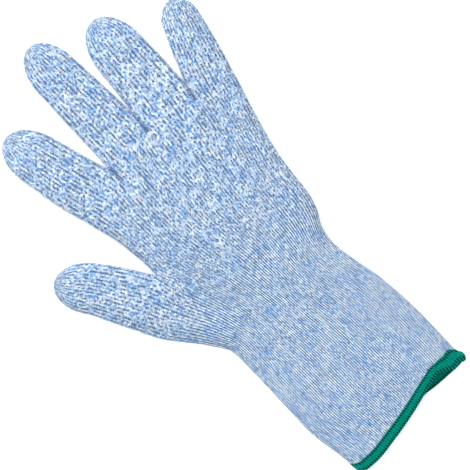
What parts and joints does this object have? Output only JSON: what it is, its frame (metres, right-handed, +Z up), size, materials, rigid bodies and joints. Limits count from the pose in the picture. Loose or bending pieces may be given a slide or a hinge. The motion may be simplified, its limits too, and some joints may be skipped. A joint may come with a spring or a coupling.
{
  "type": "cut resistant glove",
  "caption": "Seamless knitted cut resistant glove with a long cuff and an overlocked hem, lying palm up, with bending fingers, thumb and wrist.",
  "frame": {"origin": "on the flat underside, the back of the hand, below the middle of the palm, in line with the middle of the cuff", "axes": "+Y along the cuff towards the fingertips, +X towards the little finger with the thumb at -X, +Z up out of the palm; the glove lies on its back"},
  "size_m": [0.1718, 0.3019, 0.012],
  "materials": {
    "knit": "matte plain knit of blue and white marled yarn",
    "hem_yarn": "soft overlocked stitching, slightly shiny",
    "elastic_yarn": "covered elastic yarn, matte"
  },
  "bodies": {
    "palm": {"palm_shell": "knit", "wrist_gather": "knit", "thumb_root_ring": "knit", "index_knuckle_ring": "knit", "middle_knuckle_ring": "knit", "ring_knuckle_ring": "knit", "little_knuckle_ring": "knit"},
    "cuff": {"cuff_tube": "knit", "hem_binding": "hem_yarn", "wrist_elastic_1": "elastic_yarn", "wrist_elastic_2": "elastic_yarn", "wrist_elastic_3": "elastic_yarn", "wrist_elastic_4": "elastic_yarn"},
    "thumb_base": {"thumb_base_tube": "knit", "thumb_joint_ring": "knit"},
    "thumb_tip": {"thumb_fingertip": "knit"},
    "index_base": {"index_base_tube": "knit", "index_middle_joint_ring": "knit"},
    "index_middle": {"index_middle_tube": "knit", "index_end_joint_ring": "knit"},
    "index_tip": {"index_fingertip": "knit"},
    "middle_base": {"middle_base_tube": "knit", "middle_middle_joint_ring": "knit"},
    "middle_middle": {"middle_middle_tube": "knit", "middle_end_joint_ring": "knit"},
    "middle_tip": {"middle_fingertip": "knit"},
    "ring_base": {"ring_base_tube": "knit", "ring_middle_joint_ring": "knit"},
    "ring_middle": {"ring_middle_tube": "knit", "ring_end_joint_ring": "knit"},
    "ring_tip": {"ring_fingertip": "knit"},
    "little_base": {"little_base_tube": "knit", "little_middle_joint_ring": "knit"},
    "little_middle": {"little_middle_tube": "knit", "little_end_joint_ring": "knit"},
    "little_tip": {"little_fingertip": "knit"}
  },
  "joints": [
    {"name": "wrist_bend", "type": "hinge", "parent": "palm", "child": "cuff", "pos_m": [0, -0.049, 0.005], "axis": [-1, 0, 0], "range_deg": [0, 70], "deforming": ["wrist_gather"]},
    {"name": "thumb_root_bend", "type": "hinge", "parent": "palm", "child": "thumb_base", "pos_m": [-0.0509, 0.0076, 0.005], "axis": [0.7071, 0.7071, 0], "range_deg": [0, 60], "deforming": ["thumb_root_ring"]},
    {"name": "thumb_joint_bend", "type": "hinge", "parent": "thumb_base", "child": "thumb_tip", "pos_m": [-0.0655, 0.0213, 0.005], "axis": [0.9135, 0.4067, 0], "range_deg": [0, 80], "deforming": ["thumb_joint_ring"]},
    {"name": "index_knuckle_bend", "type": "hinge", "parent": "palm", "child": "index_base", "pos_m": [-0.0278, 0.0582, 0.005], "axis": [0.9976, 0.0698, 0], "range_deg": [0, 80], "deforming": ["index_knuckle_ring"]},
    {"name": "index_middle_bend", "type": "hinge", "parent": "index_base", "child": "index_middle", "pos_m": [-0.03177, 0.07984, 0.005], "axis": [0.9836, 0.1805, 0], "range_deg": [0, 95], "deforming": ["index_middle_joint_ring"]},
    {"name": "index_end_bend", "type": "hinge", "parent": "index_middle", "child": "index_tip", "pos_m": [-0.0352, 0.09853, 0.005], "axis": [0.9836, 0.1805, 0], "range_deg": [0, 57], "deforming": ["index_end_joint_ring"]},
    {"name": "middle_knuckle_bend", "type": "hinge", "parent": "palm", "child": "middle_base", "pos_m": [0.0044, 0.066, 0.005], "axis": [1, 0, 0], "range_deg": [0, 80], "deforming": ["middle_knuckle_ring"]},
    {"name": "middle_middle_bend", "type": "hinge", "parent": "middle_base", "child": "middle_middle", "pos_m": [0.00571, 0.09197, 0.005], "axis": [0.9987, -0.0506, 0], "range_deg": [0, 92], "deforming": ["middle_middle_joint_ring"]},
    {"name": "middle_end_bend", "type": "hinge", "parent": "middle_middle", "child": "middle_tip", "pos_m": [0.00688, 0.11494, 0.005], "axis": [0.9987, -0.0506, 0], "range_deg": [0, 55.2], "deforming": ["middle_end_joint_ring"]},
    {"name": "ring_knuckle_bend", "type": "hinge", "parent": "palm", "child": "ring_base", "pos_m": [0.0361, 0.0651, 0.005], "axis": [0.9986, -0.0523, 0], "range_deg": [0, 80], "deforming": ["ring_knuckle_ring"]},
    {"name": "ring_middle_bend", "type": "hinge", "parent": "ring_base", "child": "ring_middle", "pos_m": [0.03874, 0.08694, 0.005], "axis": [0.9928, -0.1201, 0], "range_deg": [0, 95], "deforming": ["ring_middle_joint_ring"]},
    {"name": "ring_end_bend", "type": "hinge", "parent": "ring_middle", "child": "ring_tip", "pos_m": [0.04097, 0.10531, 0.005], "axis": [0.9928, -0.1201, 0], "range_deg": [0, 57], "deforming": ["ring_end_joint_ring"]},
    {"name": "little_knuckle_bend", "type": "hinge", "parent": "palm", "child": "little_base", "pos_m": [0.0647, 0.0565, 0.005], "axis": [0.9848, -0.1736, 0], "range_deg": [0, 80], "deforming": ["little_knuckle_ring"]},
    {"name": "little_middle_bend", "type": "hinge", "parent": "little_base", "child": "little_middle", "pos_m": [0.07118, 0.07383, 0.005], "axis": [0.9367, -0.3502, 0], "range_deg": [0, 95], "deforming": ["little_middle_joint_ring"]},
    {"name": "little_end_bend", "type": "hinge", "parent": "little_middle", "child": "little_tip", "pos_m": [0.07608, 0.08694, 0.005], "axis": [0.9367, -0.3502, 0], "range_deg": [0, 57], "deforming": ["little_end_joint_ring"]}
  ],
  "couplings": [
    {"joint": "index_end_bend", "follows": "index_middle_bend", "ratio": 0.6},
    {"joint": "middle_end_bend", "follows": "middle_middle_bend", "ratio": 0.6},
    {"joint": "ring_end_bend", "follows": "ring_middle_bend", "ratio": 0.6},
    {"joint": "little_end_bend", "follows": "little_middle_bend", "ratio": 0.6}
  ]
}
